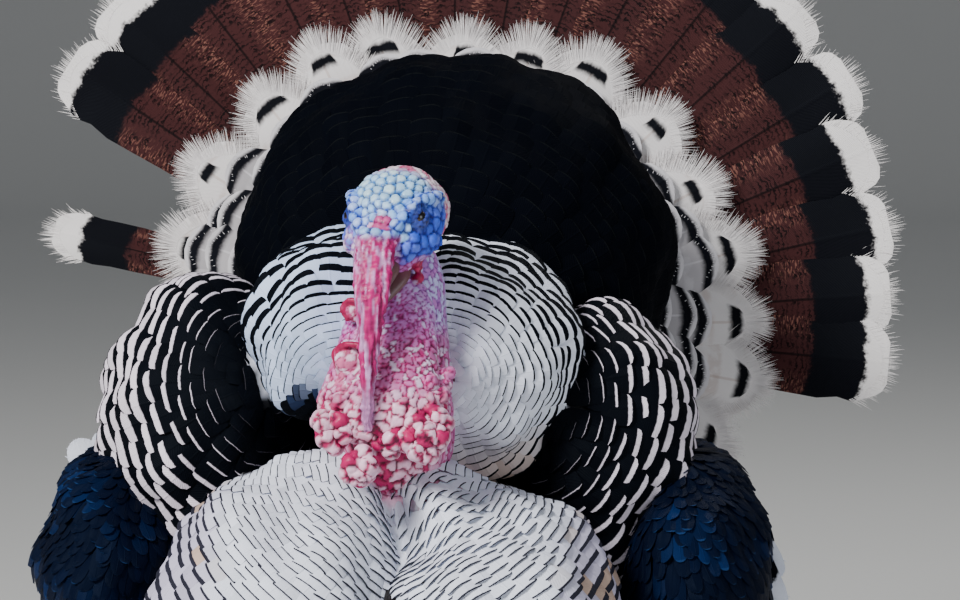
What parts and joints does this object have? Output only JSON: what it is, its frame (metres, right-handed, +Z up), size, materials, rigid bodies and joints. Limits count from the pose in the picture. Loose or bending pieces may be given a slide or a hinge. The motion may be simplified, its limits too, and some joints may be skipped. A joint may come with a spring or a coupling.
{
  "type": "displaying turkey tom",
  "caption": "Life-size still model of a displaying turkey tom: tail fanned, wings lowered, body feathers raised, head drawn back over the breast.",
  "frame": {"origin": "on the floor under the middle of the bird's box", "axes": "+Z up, -Y ahead of the bird (the way the breast faces), +X to the bird's left"},
  "size_m": [0.678, 0.6556, 0.8581],
  "materials": {
    "caruncle": "beaded red flesh with pale tips, slightly moist",
    "claw": "dark horn",
    "eye": "wet and glossy, dark brown",
    "feather_black": "black feathers with a slight sheen",
    "feather_edged": "black feathers with a white band near the tip",
    "feather_white": "white feathers with thin black edges",
    "flight_feather": "grey flight feathers barred with white",
    "horn": "satin grey-brown horn",
    "leg_scale": "scaly pinkish-brown skin",
    "skin_head": "cobbled pale blue skin with red at the nape",
    "skin_neck": "beaded pink and purple skin",
    "snood": "soft wrinkled crimson flesh",
    "tail_covert": "white feathers with a short black bar near the tip",
    "tail_feather": "bronze feathers with fine dark bars, a black band and white tips",
    "wing_covert": "blue-black feathers with a satin sheen"
  },
  "bodies": {
    "root": {"eye_right": "eye", "eye_left": "eye", "bill_upper": "horn", "bill_lower": "horn", "snood": "snood", "caruncle_left": "caruncle", "caruncle_right": "caruncle", "caruncle_middle": "caruncle", "head": "skin_head", "dewlap": "caruncle", "neck_upper": "skin_neck", "neck_lower": "skin_neck", "beard": "feather_black", "throat_base": "feather_white", "breast_right": "feather_white", "breast_left": "feather_white", "ruff_right": "feather_white", "ruff_left": "feather_white", "scapulars_right": "feather_edged", "scapulars_left": "feather_edged", "wing_right": "wing_covert", "primaries_right": "flight_feather", "secondaries_right": "flight_feather", "wing_left": "wing_covert", "primaries_left": "flight_feather", "secondaries_left": "flight_feather", "tail_fan": "tail_feather", "undertail": "tail_covert", "mantle": "feather_black", "rump": "feather_black", "tail_coverts": "tail_covert", "tail_coverts_short": "tail_covert", "foot_right": "leg_scale", "spur_right": "claw", "claw_inner_right": "claw", "claw_middle_right": "claw", "claw_outer_right": "claw", "claw_hind_right": "claw", "shank_right": "leg_scale", "thigh_right": "feather_black", "foot_left": "leg_scale", "spur_left": "claw", "claw_inner_left": "claw", "claw_middle_left": "claw", "claw_outer_left": "claw", "claw_hind_left": "claw", "shank_left": "leg_scale", "thigh_left": "feather_black", "vent": "tail_covert", "trunk": "feather_black"}
  },
  "joints": []
}
